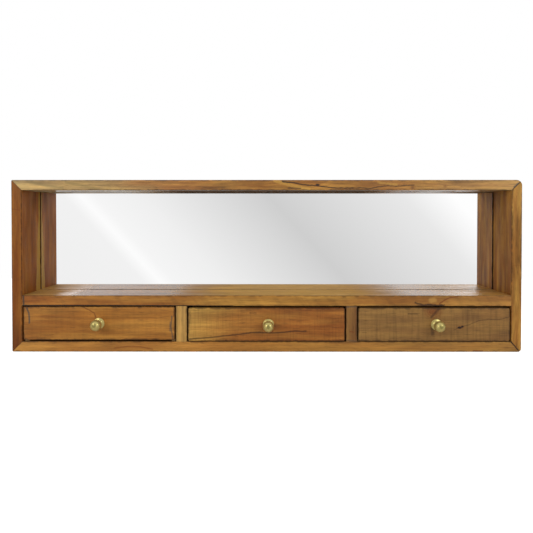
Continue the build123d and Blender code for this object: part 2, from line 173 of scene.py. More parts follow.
def paint(red, green, blue):
    """A colour picked on screen, 0 to 255, as the linear colour that shaders work in."""
    parts = [c / 255 for c in (red, green, blue)]
    return tuple(c / 12.92 if c < 0.04045 else ((c + 0.055) / 1.055) ** 2.4 for c in parts) + (1.0,)


WHITE = paint(255, 255, 255)
print("helpers: a mid grey of 128 is", round(paint(128, 128, 128)[0], 3), "to a shader")

# %% [markdown]
# ## The studio: world, floor and lamps
#
# A mirror has no colour of its own, so what it shows has to be built too. The studio behind the
# camera is a pale wall with a soft diagonal sheen, made here as a world whose brightness depends on
# the direction of a reflected ray. Light Path tells that ray from others: the camera sees plain
# white, glossy rays see the sheen, and everything else gets even light. Round the patch that the
# mirror shows, the room is grey near the horizon and lighter overhead, which models the brass knobs.

# %% World
SHEEN = [
    (0.0, 240), (0.17, 242), (0.2, 253), (0.225, 246), (0.31, 240),
    (0.5325, 207), (0.7725, 233), (0.86, 255), (1.0, 255),
]
SHEEN_SLOPE = (328.0, 302.3)
SHEEN_SPAN = (-200.3, 199.7)
PATCH_WIDE, PATCH_HIGH = 0.85, 0.35
ROOM = [(0.0, 220), (0.12, 176), (0.35, 190), (0.75, 228), (1.0, 250)]
ROOM_LIGHT = 0.7
LEAST_DEPTH = 0.02

world = bpy.data.worlds.new("studio")
bpy.context.scene.world = world
world.use_nodes = True
tree = world.node_tree
tree.nodes.clear()
ray = split(tree, put(tree, "TexCoord").outputs["Generated"])
depth = calc(tree, "MAXIMUM", calc(tree, "ABSOLUTE", ray["Y"]), LEAST_DEPTH)
sideways = calc(tree, "DIVIDE", ray["X"], depth)
upward = calc(tree, "DIVIDE", ray["Z"], depth)
slope = calc(tree, "MULTIPLY", sideways, SHEEN_SLOPE[0])
slope = calc(tree, "ADD", slope, calc(tree, "MULTIPLY", upward, SHEEN_SLOPE[1]))
sheen_place = fade(tree, slope, *SHEEN_SPAN, how="LINEAR")
sheen = ramp(tree, sheen_place, [(position, paint(grey, grey, grey)) for position, grey in SHEEN])
far_side = calc(tree, "POWER", calc(tree, "DIVIDE", sideways, PATCH_WIDE), 2.0)
far_up = calc(tree, "POWER", calc(tree, "DIVIDE", upward, PATCH_HIGH), 2.0)
outside = fade(tree, calc(tree, "ADD", far_side, far_up), 0.8, 2.5)
room = ramp(tree, ray["Z"], [(position, paint(grey, grey, grey)) for position, grey in ROOM])
reflected = mix_colours(tree, outside, sheen, room)
rays = put(tree, "LightPath").outputs
seen = mix_colours(tree, rays["Is Camera Ray"], reflected, WHITE)
even_light = put(tree, "Background", {"Color": WHITE, "Strength": ROOM_LIGHT})
shown = put(tree, "Background", {"Color": seen, "Strength": 1.0})
direct = calc(tree, "MAXIMUM", rays["Is Camera Ray"], rays["Is Glossy Ray"])
direct = calc(tree, "MAXIMUM", direct, rays["Is Transmission Ray"])
mixed = put(tree, "MixShader", {0: direct, 1: even_light.outputs[0], 2: shown.outputs[0]})
put(tree, "OutputWorld", {"Surface": mixed.outputs[0]})
print("world:", len(SHEEN), "stops of sheen, room light", ROOM_LIGHT)

# %% [markdown]
# The floor is a pale slab at the foot of the object. Its own colour does the work: a light matt
# white, with a glow that only camera rays see. That lifts the open floor to white and leaves the
# object's soft shadow, where less light arrives.

# %% Floor
FLOOR_LEFT, FLOOR_RIGHT, FLOOR_FRONT, FLOOR_BACK = -1.9, 1.9, -0.72, 1.2
FLOOR_GLOW = 0.62

floor_mesh = bpy.data.meshes.new("floor")
corners = [
    (FLOOR_LEFT, FLOOR_FRONT, 0), (FLOOR_RIGHT, FLOOR_FRONT, 0),
    (FLOOR_RIGHT, FLOOR_BACK, 0), (FLOOR_LEFT, FLOOR_BACK, 0),
]
floor_mesh.from_pydata(corners, [], [(0, 1, 2, 3)])
floor = bpy.data.objects.new("floor", floor_mesh)
bpy.context.scene.collection.objects.link(floor)
floor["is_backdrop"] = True
floor_paint = bpy.data.materials.new("floor_paint")
floor_paint.use_nodes = True
tree = floor_paint.node_tree
tree.nodes.clear()
matt = put(tree, "BsdfDiffuse", {"Color": paint(236, 236, 236)})
to_camera = calc(tree, "MULTIPLY", put(tree, "LightPath").outputs["Is Camera Ray"], FLOOR_GLOW)
glow = put(tree, "Emission", {"Color": WHITE, "Strength": to_camera})
lit = put(tree, "AddShader", {0: matt.outputs[0], 1: glow.outputs[0]})
put(tree, "OutputMaterial", {"Surface": lit.outputs[0]})
floor_mesh.materials.append(floor_paint)
print("floor:", [tuple(round(c, 2) for c in corner) for corner in corners])

# %% [markdown]
# Two area lamps stand in for the studio's soft boxes, one on each side of the camera. A large lamp
# gives soft shadows because light reaches each point from many directions. Both hang above what the
# mirror shows to the camera, and each puts its own highlight on the round heads of the knobs.

# %% Lamps
LAMP_WIDTH, LAMP_HEIGHT = 0.9, 0.8
LIT_POINT = Vector((0, 0, 0.18))


def soft_box(name, place, power):
    """A rectangular area lamp at a place, turned towards the object."""
    lamp_data = bpy.data.lights.new(name, "AREA")
    lamp_data.shape = "RECTANGLE"
    lamp_data.size, lamp_data.size_y = LAMP_WIDTH, LAMP_HEIGHT
    lamp_data.energy = power
    lamp = bpy.data.objects.new(name, lamp_data)
    bpy.context.scene.collection.objects.link(lamp)
    lamp.location = place
    aim = LIT_POINT - Vector(place)
    lamp.rotation_euler = aim.to_track_quat("-Z", "Y").to_euler()
    print("lamp:", name, power, "W at", place)


soft_box("left_soft_box", (-1.5, -1.5, 1.1), 13)
soft_box("right_soft_box", (1.5, -1.5, 1.1), 11)

# %% [markdown]
# ## Effects that the finishes share
#
# Grain, saw marks, knots, pencil-thin cracks and worn edges turn up on many boards. Each of them is
# a node group: a small tree with named inputs and outputs that is built once and then used in many
# materials with other values. Inside a group there are only patterns. The shader stays outside.

# %% Starting, ending and using a node group
KINDS = {"number": "NodeSocketFloat", "place": "NodeSocketVector"}


def start_group(name, inputs, outputs):
    """A new node group with inputs (name, kind, usual value), and number outputs by name."""
    tree = bpy.data.node_groups.new(name, "ShaderNodeTree")
    for label, kind, value in inputs:
        tree.interface.new_socket(label, in_out="INPUT", socket_type=KINDS[kind]).default_value = value
    for label in outputs:
        tree.interface.new_socket(label, in_out="OUTPUT", socket_type=KINDS["number"])
    return tree, tree.nodes.new("NodeGroupInput").outputs


def end_group(tree, **results):
    """Join the results to a group's outputs."""
    end = tree.nodes.new("NodeGroupOutput")
    for name, value in results.items():
        fill(tree, end.inputs[name], value)
    print("group:", tree.name, "with", len(tree.nodes), "nodes")


def use_group(tree, group, **inputs):
    """Put a node group in a tree and give back its outputs. An underscore stands for a space."""
    node = put(tree, "Group", node_tree=group)
    for name, value in inputs.items():
        fill(tree, node.inputs[name.replace("_", " ")], value)
    return node.outputs


print("sockets:", ", ".join(f"{kind} is {socket}" for kind, socket in KINDS.items()))

# %% [markdown]
# **Grain.** Wood is a bundle of long fibres, so its pattern is noise that changes slowly along the
# board and fast across it. Bands from the growth rings, fine streaks and soft clouds are added up
# into one shade. Figure is the flame-like play of gold and red that runs through oiled boards, and
# pores are short dark dashes. The place is bent by a slow noise first, so no line runs quite straight.

# %% Grain
grain, ins = start_group(
    "grain",
    [
        ("Place", "place", (0, 0, 0)),
        ("Seed", "number", 0.0),
        ("Waviness", "number", 0.014),
        ("Bands", "number", 0.3),
        ("Streaks", "number", 0.3),
        ("Clouds", "number", 0.3),
    ],
    ["Shade", "Figure", "Pores", "Height"],
)
bend = noise(grain, ins["Place"], (3.5, 9.0, 9.0), ins["Seed"], output="Color")
bend = scale_vector(grain, calc_vector(grain, "SUBTRACT", bend, (0.5, 0.5, 0.5)), ins["Waviness"])
bent = calc_vector(grain, "ADD", ins["Place"], calc_vector(grain, "MULTIPLY", bend, (0.0, 1.0, 1.0)))
bands = noise(grain, bent, (2.2, 90.0, 90.0), ins["Seed"])
streaks = noise(grain, bent, (11.0, 330.0, 330.0), ins["Seed"], 3.0)
clouds = noise(grain, ins["Place"], (11.0, 34.0, 34.0), ins["Seed"], 3.0)
shade = 1.0
for layer, strength in ((bands, "Bands"), (streaks, "Streaks"), (clouds, "Clouds")):
    swing = calc(grain, "MULTIPLY", calc(grain, "SUBTRACT", layer, 0.5), ins[strength])
    shade = calc(grain, "ADD", shade, calc(grain, "MULTIPLY", swing, 3.0))
flames = noise(grain, bent, (6.0, 55.0, 55.0), calc(grain, "ADD", ins["Seed"], 2.0), 3.0)
specks = noise(grain, bent, (45.0, 1100.0, 1100.0), ins["Seed"], 1.0)
pores = fade(grain, specks, 0.58, 0.7)
raised = calc(grain, "MULTIPLY", streaks, 0.6)
relief = calc(grain, "SUBTRACT", raised, calc(grain, "MULTIPLY", pores, 0.7))
end_group(grain, Shade=shade, Figure=fade(grain, flames, 0.36, 0.64), Pores=pores, Height=relief)

# %% [markdown]
# **Saw marks.** A band saw leaves faint ribs across the board, a little curved and unevenly deep.
# They are the grain's pattern turned round: noise that is fast along the board and slow across it.

# %% Saw marks
saw_marks, ins = start_group(
    "saw_marks",
    [
        ("Place", "place", (0, 0, 0)),
        ("Seed", "number", 0.0),
        ("Ribs per metre", "number", 120.0),
        ("Slant", "number", 0.0),
    ],
    ["Ribs"],
)
apart = split(saw_marks, ins["Place"])
skew = calc(saw_marks, "MULTIPLY", calc(saw_marks, "ADD", apart["Y"], apart["Z"]), ins["Slant"])
along = calc(saw_marks, "MULTIPLY", calc(saw_marks, "ADD", apart["X"], skew), ins["Ribs per metre"])
across = calc(saw_marks, "MULTIPLY", calc(saw_marks, "ADD", apart["Y"], apart["Z"]), 10.0)
ribs_at = put(saw_marks, "CombineXYZ", {0: along, 1: across}).outputs[0]
ribs = noise(saw_marks, ribs_at, (1.0, 1.0, 1.0), ins["Seed"])
end_group(saw_marks, Ribs=fade(saw_marks, ribs, 0.44, 0.66))

# %% [markdown]
# **Worn edges.** The handled edge of an old board is rounded and darker. Every board here is a box,
# so the distance to its nearest edge can be worked out: of the distances to its three pairs of
# faces, one is zero on the surface, and the middle one is the way to the edge.

# %% Worn edges
worn_edges, ins = start_group(
    "worn_edges",
    [
        ("Place", "place", (0, 0, 0)),
        ("Low corner", "place", (0, 0, 0)),
        ("High corner", "place", (1, 1, 1)),
        ("Width", "number", 0.002),
        ("Seed", "number", 0.0),
    ],
    ["Wear"],
)
from_low = calc_vector(worn_edges, "SUBTRACT", ins["Place"], ins["Low corner"])
from_high = calc_vector(worn_edges, "SUBTRACT", ins["High corner"], ins["Place"])
ways = split(worn_edges, calc_vector(worn_edges, "MINIMUM", from_low, from_high))
least = calc(worn_edges, "MINIMUM", ways["X"], ways["Y"])
most = calc(worn_edges, "MAXIMUM", ways["X"], ways["Y"])
middle = calc(worn_edges, "MAXIMUM", least, calc(worn_edges, "MINIMUM", most, ways["Z"]))
ragged = noise(worn_edges, ins["Place"], (70.0, 70.0, 70.0), ins["Seed"], 3.0)
reach = calc(worn_edges, "MULTIPLY", ins["Width"], fade(worn_edges, ragged, 0.3, 0.75, 0.2, 2.2))
from_edge = calc(worn_edges, "DIVIDE", middle, reach)
end_group(worn_edges, Wear=calc(worn_edges, "SUBTRACT", 1.0, from_edge, clamp=True))

# %% [markdown]
# **Strokes.** Cracks, joint lines and stains are drawn as short straight strokes, each with a start,
# an end and a width. The group measures how far a point is from the line between them. A little
# noise is added to the place first, so the strokes join into one ragged line.

# %% Strokes
stroke, ins = start_group(
    "stroke",
    [
        ("Place", "place", (0, 0, 0)),
        ("Start", "place", (0, 0, 0)),
        ("End", "place", (0, 0, 0)),
        ("Width", "number", 0.001),
        ("Shake", "number", 0.003),
    ],
    ["Mask"],
)
shake = noise(stroke, ins["Place"], (150.0, 150.0, 150.0), 3.0, 3.0, output="Color")
shake = scale_vector(stroke, calc_vector(stroke, "SUBTRACT", shake, (0.5, 0.5, 0.5)), ins["Shake"])
reach = calc_vector(stroke, "SUBTRACT", calc_vector(stroke, "ADD", ins["Place"], shake), ins["Start"])
run = calc_vector(stroke, "SUBTRACT", ins["End"], ins["Start"])
share = calc_vector(stroke, "DOT_PRODUCT", reach, run)
share = calc(stroke, "DIVIDE", share, calc_vector(stroke, "DOT_PRODUCT", run, run), clamp=True)
off_line = calc_vector(stroke, "SUBTRACT", reach, scale_vector(stroke, run, share))
gap = calc_vector(stroke, "LENGTH", off_line)
end_group(stroke, Mask=fade(stroke, calc(stroke, "DIVIDE", gap, ins["Width"]), 1.0, 0.3))

# %% [markdown]
# **Knots.** A knot is where a branch left the trunk: a dark heart, and a halo of grain that flows
# round it in rings. One group gives a mask for the heart and one for the halo.

# %% Knots
knot, ins = start_group(
    "knot",
    [
        ("Place", "place", (0, 0, 0)),
        ("Centre", "place", (0, 0, 0)),
        ("Size", "place", (0.01, 0.01, 0.01)),
    ],
    ["Heart", "Halo"],
)
offset = calc_vector(knot, "SUBTRACT", ins["Place"], ins["Centre"])
offset = calc_vector(knot, "DIVIDE", offset, ins["Size"])
ragged = calc(knot, "SUBTRACT", noise(knot, ins["Place"], (150.0, 150.0, 150.0), 7.0, 3.0), 0.5)
radius = calc(knot, "ADD", calc_vector(knot, "LENGTH", offset), ragged)
rings = calc(knot, "SINE", calc(knot, "MULTIPLY", radius, 14.0))
rings = calc(knot, "ADD", calc(knot, "MULTIPLY", rings, 0.25), 0.75)
halo = calc(knot, "MULTIPLY", fade(knot, radius, 2.3, 0.8), rings)
end_group(knot, Heart=fade(knot, radius, 1.0, 0.5), Halo=halo)

# %% [markdown]
# ## Wood finishes
#
# A finish is built up in layers, as on the bench: a base tone, grain, marks, and wear at the edges,
# with oil over all. The class below carries the tree and the colour reached so far, and each layer
# tints it once more. Object coordinates fix the pattern to the wood, so it moves with a drawer. The
# base tones drift with a slow noise, so no board changes colour along a ruled line.

# %% A wood finish
UPRIGHT = (0.0, math.radians(90), 0.0)
FRONT_TO_BACK = (0.0, 0.0, math.radians(90))
SHINIEST, DULLEST = 0.42, 0.62
RELIEF_DEPTH = 0.0006


def dress(material, *names):
    """Give a material to CAD nodes in place of the plain one they came with."""
    for name in names:
        for slot in nodes[name].material_slots:
            slot.material = material


class WoodFinish:
    """A wood material being built up: its tree, its colour, its relief and its roughness so far."""

    def __init__(self, name, seed, tones, reach, turn=(0.0, 0.0, 0.0)):
        """Tones are (position, colour) with position 0 and 1 at the two ends of reach, in metres."""
        self.material = bpy.data.materials.new(name)
        self.material.use_nodes = True
        self.tree = self.material.node_tree
        self.tree.nodes.clear()
        self.seed = seed
        self.place = put(self.tree, "TexCoord").outputs["Object"]
        self.at = split(self.tree, self.place)
        turned = {0: self.place, "Rotation": turn}
        self.along = put(self.tree, "VectorRotate", turned, rotation_type="EULER_XYZ").outputs[0]
        self.distance = fade(self.tree, split(self.tree, self.along)["X"], *reach, how="LINEAR")
        slow = noise(self.tree, self.along, (5.0, 26.0, 26.0), seed + 5)
        drift = calc(self.tree, "MULTIPLY", calc(self.tree, "SUBTRACT", slow, 0.5), 0.3)
        spot = calc(self.tree, "ADD", self.distance, drift)
        self.colour = ramp(self.tree, spot, [(position, paint(*colour)) for position, colour in tones])
        self.height = 0.0
        cloudy = noise(self.tree, self.along, (9.0, 40.0, 40.0), seed + 9, 3.0)
        self.roughness = fade(self.tree, cloudy, 0.3, 0.75, SHINIEST, DULLEST)

    def tint(self, mask, colour, strength=1.0):
        """Lay a colour over the wood where the mask is 1."""
        share = calc(self.tree, "MULTIPLY", mask, strength, clamp=True)
        self.colour = mix_colours(self.tree, share, self.colour, colour)

    def both(self, first, second):
        """A mask that is 1 where both masks are 1."""
        return calc(self.tree, "MULTIPLY", first, second)

    def behind_front(self, start=0.0012, end=0.003):
        """A mask that leaves out the front face and rises to 1 a little behind it."""
        return fade(self.tree, self.at["Y"], front_y + start, front_y + end)

    def close(self, *names, bump=0.25, specular=0.25):
        """Join the layers to the shader and give the material to these nodes."""
        relief = {"Strength": bump, "Distance": RELIEF_DEPTH, "Height": self.height}
        bumps = put(self.tree, "Bump", relief)
        inputs = {"Base Color": self.colour, "Roughness": self.roughness, "Normal": bumps.outputs[0]}
        shader = put(self.tree, "BsdfPrincipled", {**inputs, "Specular IOR Level": specular})
        put(self.tree, "OutputMaterial", {"Surface": shader.outputs[0]})
        dress(self.material, *names)
        print("finish:", self.material.name, "with", len(self.tree.nodes), "nodes on", *names)


print("finishes: oiled wood has a roughness from", SHINIEST, "to", DULLEST)

# %% [markdown]
# The first layers over the base tone are the grain and, on some boards, the marks of the saw. The
# grain's shade is multiplied into the tone, its figure adds gold and rust, and its height becomes the
# slight unevenness that the Bump node shows.

# %% Grain and saw marks on a board
DARK_OIL = paint(46, 28, 14)
GOLD = paint(204, 154, 70)
RUST = paint(112, 56, 16)


def add_grain(wood, bands=0.3, streaks=0.3, clouds=0.3, waviness=0.014, gold=0.3, rust=0.3, pores=0.45):
    """Growth bands, streaks, clouds, a play of gold and rust, and dark pores."""
    layers = use_group(
        wood.tree, grain, Place=wood.along, Seed=wood.seed, Waviness=waviness,
        Bands=bands, Streaks=streaks, Clouds=clouds,
    )
    wood.tint(layers["Figure"], GOLD, gold)
    wood.tint(calc(wood.tree, "SUBTRACT", 1.0, layers["Figure"]), RUST, rust)
    grey = put(wood.tree, "CombineColor", {band: layers["Shade"] for band in range(3)}).outputs[0]
    wood.colour = mix_colours(wood.tree, 1.0, wood.colour, grey, "MULTIPLY")
    wood.tint(layers["Pores"], DARK_OIL, pores)
    wood.height = layers["Height"]


def add_saw_marks(wood, ribs_per_metre, strength, slant=0.0):
    """Ribs left by the saw, across the grain."""
    marks = use_group(
        wood.tree, saw_marks, Place=wood.along, Seed=wood.seed,
        Ribs_per_metre=ribs_per_metre, Slant=slant,
    )
    wood.tint(marks["Ribs"], DARK_OIL, strength)


print("grain: gold", [round(c, 2) for c in GOLD[:3]], "and rust", [round(c, 2) for c in RUST[:3]])

# %% [markdown]
# Cracks, filler, knots and worn edges come next, each from its own group. Marks on the front are
# placed in millimetres, as (x, z), the way they would be pencilled on the board.

# %% Marks on a board
SLATE = paint(62, 62, 56)
KNOT_DEPTH = 0.02


def add_line(wood, points, width, colour=DARK_OIL, strength=0.8, shake=3.0):
    """A crack, stain or joint line through points on the front, in millimetres."""
    mask = 0.0
    for start, end in zip(points, points[1:]):
        ends = [(x / MM_PER_M, front_y, z / MM_PER_M) for x, z in (start, end)]
        line = use_group(
            wood.tree, stroke, Place=wood.place, Start=ends[0], End=ends[1],
            Width=width / MM_PER_M, Shake=shake / MM_PER_M,
        )
        mask = calc(wood.tree, "MAXIMUM", mask, line["Mask"])
    wood.tint(mask, colour, strength)


def add_knot(wood, x, z, wide, high, strength=0.8, halo=0.4, colour=DARK_OIL):
    """A knot or a dark spot on the front, in millimetres."""
    centre = (x / MM_PER_M, front_y, z / MM_PER_M)
    size = (wide / MM_PER_M / 2, KNOT_DEPTH, high / MM_PER_M / 2)
    spot = use_group(wood.tree, knot, Place=wood.place, Centre=centre, Size=size)
    wood.tint(spot["Halo"], RUST, halo)
    wood.tint(spot["Heart"], colour, strength)


def add_worn_edges(wood, node, width=0.0024, strength=0.75):
    """Darker, worn edges round one board."""
    low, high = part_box(node)
    edges = use_group(
        wood.tree, worn_edges, Place=wood.place, Low_corner=low, High_corner=high,
        Width=width, Seed=wood.seed,
    )
    wood.tint(edges["Wear"], DARK_OIL, strength)


print("marks: drawn on the front at", round(front_y * MM_PER_M), "mm")

# %% [markdown]
# ### The top board
#
# It runs from an olive tan at the left to a redder brown in the middle. One long dark crack wanders
# along its right half, with a dark spot where a nail was, and two faint knots lie beyond it.

# %% Top board
BOARD_REACH = (-0.6, 0.6)
LEFT_MITRE, RIGHT_MITRE = [(-599, 404), (-577, 382)], [(597, 402), (577, 382)]
LOW_LEFT_MITRE, LOW_RIGHT_MITRE = [(-599, 1), (-577, 23)], [(576, 24), (593, 4)]
top = WoodFinish(
    "top_board_wood",
    11.0,
    [
        (0.0, (177, 156, 105)), (0.16, (178, 149, 92)), (0.28, (164, 115, 60)),
        (0.5, (149, 95, 32)), (0.8, (160, 112, 50)), (1.0, (190, 149, 88)),
    ],
    BOARD_REACH,
)
add_grain(top, bands=0.4, streaks=0.4, clouds=0.5, gold=0.4, rust=0.35)
add_line(top, [(-560, 401), (-515, 391), (-480, 386)], 5, paint(120, 104, 62), 0.45)
add_line(top, [(-590, 399), (-556, 385)], 5, paint(176, 152, 96), 0.25)
add_line(top, [(-470, 399), (-425, 390), (-395, 383)], 5, paint(124, 106, 58), 0.4)
add_line(top, [(20, 403), (60, 392), (100, 383)], 6, paint(206, 158, 70), 0.45)
add_line(top, [(262, 399), (305, 394)], 4, paint(210, 166, 76), 0.3, 6.0)
CRACK = [(37, 401), (65, 398), (84, 394), (114, 392), (142, 388), (165, 386), (203, 386)]
CRACK_END = [(203, 386), (221, 387), (240, 384), (263, 389), (285, 391), (304, 390), (346, 393)]
add_line(top, CRACK, 2.1, strength=0.9)
add_line(top, CRACK_END, 1.9, strength=0.75)
add_line(top, [(51, 386), (80, 385)], 2.2, strength=0.7)
add_knot(top, 120, 393.5, 12, 6, 0.95)
add_knot(top, 343, 387, 8, 7, 0.35, 0.5)
add_knot(top, 419, 390, 6, 6, 0.2, 0.4)
add_worn_edges(top, "top_board")
add_line(top, LEFT_MITRE, 1.0, strength=0.7, shake=0.6)
add_line(top, RIGHT_MITRE, 1.6, strength=0.9, shake=1.2)
add_line(top, [(582, 388), (591, 396)], 4.5, SLATE, 0.75)
print("top board:", len(top.tree.nodes), "nodes before the gloss")

# %% [markdown]
# The camera looks along the underside of this board at a very flat angle, so its gloss shows more
# than its colour. The oil is glossy towards both ends and dull in the middle, where the wood is painted
# dark as a painted shade under the board. Near the right end a stretch is painted near white, a
# painted reflection, and the left part is painted a pale gold, a painted sheen. Only the inner part
# shines: the front is worn.

# %% Underside of the top board
ON_FACE, OFF_FACE = 0.0002, 0.0006


def polish(wood, level, stops, dull_colour, dull_strength, first=0.0012, full=0.003):
    """Oil rubbed to a gloss on the face at a height, as (position, gloss from 0 to 1).

    The gloss starts at the depth first behind the front, and is full at the depth full.
    """
    greys = [(position, (gloss, gloss, gloss, 1)) for position, gloss in stops]
    gloss = ramp(wood.tree, wood.distance, greys)
    off = calc(wood.tree, "ABSOLUTE", calc(wood.tree, "SUBTRACT", wood.at["Z"], level))
    on_face = fade(wood.tree, off, OFF_FACE, ON_FACE)
    dull = wood.both(calc(wood.tree, "SUBTRACT", 1.0, gloss), on_face)
    # Dull parts are tinted with dull_colour; under the top board this tint is a painted shade.
    wood.tint(wood.both(dull, wood.behind_front()), dull_colour, dull_strength)
    glossy_face = wood.both(wood.behind_front(first, full), on_face)
    smoother = fade(wood.tree, gloss, 0.0, 1.0, 0.45, -0.5, "LINEAR")
    change = calc(wood.tree, "MULTIPLY", glossy_face, smoother)
    wood.roughness = calc(wood.tree, "ADD", wood.roughness, change, clamp=True)


UNDERSIDE = [
    (0.0, 0.2), (0.08, 0.9), (0.2, 0.9), (0.33, 0.0), (0.7, 0.0), (0.8, 1.0), (0.88, 1.0), (0.97, 0.2),
]
SHINE = (0.016, 0.03)
REFLECTION_DEPTH = (0.02, 0.03)
# The dull middle of the underside is painted dark: a painted shade under the board.
polish(top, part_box("top_board")[0].z, UNDERSIDE, paint(52, 36, 12), 0.85, *SHINE)
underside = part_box("top_board")[0].z
below = fade(top.tree, top.at["Z"], underside + OFF_FACE, underside + ON_FACE)
right_of = fade(top.tree, top.at["X"], 0.380, 0.390)
left_of = fade(top.tree, top.at["X"], 0.450, 0.435)
painted_reflection = top.both(top.both(right_of, left_of), below)
# A painted reflection: near the right end the underside is painted near white.
top.tint(top.both(painted_reflection, top.behind_front(*REFLECTION_DEPTH)), paint(252, 252, 248), 0.85)
# A painted sheen: the left part of the underside is painted a pale gold.
left_sheen = top.both(fade(top.tree, top.at["X"], -0.22, -0.32), below)
top.tint(top.both(left_sheen, top.behind_front(*SHINE)), paint(220, 208, 160), 0.25)
top.close("top_board", bump=0.12, specular=0.35)

# %% [markdown]
# ### The bottom board
#
# The bottom board is calmer, with straight grain and an even warm brown. A reddish arc of an old
# knot shows under the left drawer, and its right mitre has opened to a black crack. Like every board
# round the drawers, it is painted darker inside the drawer bays, a painted shade with some grime.

# %% Bottom board
def paint_bay_shade_and_grime(wood):
    """Painted shade and some grime on the drawer bays, between the bottom board and the shelf."""
    low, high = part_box("bottom_board")[1].z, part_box("shelf_board")[0].z
    above = fade(wood.tree, wood.at["Z"], low - OFF_FACE, low - ON_FACE)
    below = fade(wood.tree, wood.at["Z"], high + OFF_FACE, high + ON_FACE)
    bay = wood.both(above, below)
    # A painted shade, with some grime, inside the drawer bays.
    wood.tint(wood.both(bay, wood.behind_front(0.0006, 0.002)), DARK_OIL, 0.75)


bottom = WoodFinish(
    "bottom_board_wood",
    23.0,
    [(0.0, (178, 122, 54)), (0.5, (161, 108, 44)), (1.0, (166, 122, 58))],
    BOARD_REACH,
)
add_grain(bottom, clouds=0.2, gold=0.2, rust=0.2)
paint_bay_shade_and_grime(bottom)
add_line(bottom, [(-358, 8.5), (-330, 12.7), (-297, 12), (-269, 6)], 2.5, RUST, 0.5)
add_line(bottom, [(488, 2.6), (509, 2.1)], 3, RUST, 0.7)
add_worn_edges(bottom, "bottom_board")
add_line(bottom, LOW_LEFT_MITRE, 0.9, strength=0.6, shake=0.6)
add_line(bottom, LOW_RIGHT_MITRE, 2.2, strength=1.0, shake=1.5)
bottom.close("bottom_board")

# %% [markdown]
# ### The side boards
#
# Their grain runs upright, so the place is turned a quarter round before the grain is laid. The left
# board is a deep red brown, with a strip of yellow sapwood beside the mirror. The strip's edge leans
# and wanders, so it is found from the depth plus a little height and noise.

# %% Left side board
SIDE_REACH = (0.0, 0.4)
SAPWOOD_STARTS, SAPWOOD_FULL = 0.037, 0.041
SAPWOOD_LEAN, SAPWOOD_TOP, SAPWOOD_WANDER = 0.065, 0.38, 0.012


def paint_glass_gap_shade(wood, node, width=0.0016):
    """Painted shade: the dark, ragged line where a side board's inner face meets the mirror."""
    low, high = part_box(node)
    inner = min(abs(low.x), abs(high.x))
    across = calc(wood.tree, "ABSOLUTE", wood.at["X"])
    inner_face = fade(wood.tree, across, inner + OFF_FACE, inner + ON_FACE)
    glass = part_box("mirror_glass")[0].y
    ragged = noise(wood.tree, wood.place, (50.0, 50.0, 50.0), 6.0, 3.0)
    start = fade(wood.tree, ragged, 0.3, 0.7, glass - width * 0.5, glass - width * 1.6, "LINEAR")
    past = fade(wood.tree, calc(wood.tree, "SUBTRACT", wood.at["Y"], start), 0.0, 0.0006)
    # The dark line is a painted shade of the narrow gap at the glass.
    wood.tint(wood.both(past, inner_face), DARK_OIL, 0.85)


left_board = WoodFinish(
    "left_side_wood",
    31.0,
    [(0.0, (106, 58, 14)), (0.2, (131, 74, 12)), (0.6, (134, 76, 12)), (1.0, (140, 83, 20))],
    SIDE_REACH,
    UPRIGHT,
)
add_grain(left_board, bands=0.4, streaks=0.35, gold=0.15, rust=0.35)
front_face = fade(left_board.tree, left_board.at["Y"], front_y + 0.002, front_y + 0.001)
left_board.tint(front_face, paint(92, 44, 14), 0.4)
drop = calc(left_board.tree, "SUBTRACT", SAPWOOD_TOP, left_board.at["Z"])
lean = calc(left_board.tree, "MULTIPLY", drop, SAPWOOD_LEAN)
ragged = noise(left_board.tree, left_board.place, (30.0, 30.0, 30.0), 4.0, 3.0)
wander = calc(left_board.tree, "MULTIPLY", ragged, SAPWOOD_WANDER)
way_in = calc(left_board.tree, "ADD", calc(left_board.tree, "ADD", left_board.at["Y"], lean), wander)
sapwood = fade(left_board.tree, way_in, SAPWOOD_STARTS, SAPWOOD_FULL)
left_board.tint(sapwood, paint(168, 132, 60), 0.75)
paint_glass_gap_shade(left_board, "left_side_board")
add_line(left_board, [(-600, 337), (-580, 334)], 2.0, RUST, 0.5)
add_worn_edges(left_board, "left_side_board")
add_line(left_board, LEFT_MITRE, 1.0, strength=0.7, shake=0.6)
add_line(left_board, LOW_LEFT_MITRE, 0.9, strength=0.6, shake=0.6)
left_board.close("left_side_board", specular=0.17)

# %% [markdown]
# The right board is golden in front and wild inside. Inside, low on oil, it also shines less, so its
# Specular IOR Level is lower than that of the other boards.

# %% Right side board
right_board = WoodFinish(
    "right_side_wood",
    37.0,
    [(0.0, (161, 114, 52)), (0.5, (154, 109, 48)), (1.0, (164, 122, 60))],
    SIDE_REACH,
    UPRIGHT,
)
add_grain(right_board, bands=0.55, streaks=0.25, waviness=0.06, clouds=0.6, gold=0.35, rust=0.45)
inside = fade(right_board.tree, right_board.at["Y"], front_y, front_y + 0.006)
right_board.tint(inside, paint(104, 52, 4), 0.45)
paint_glass_gap_shade(right_board, "right_side_board", 0.0026)
add_line(right_board, [(600, 205), (576, 203)], 1.2, RUST, 0.4)
add_worn_edges(right_board, "right_side_board")
add_line(right_board, RIGHT_MITRE, 1.6, strength=0.9, shake=1.2)
add_line(right_board, LOW_RIGHT_MITRE, 2.2, strength=1.0, shake=1.5)
right_board.close("right_side_board", specular=0.14)
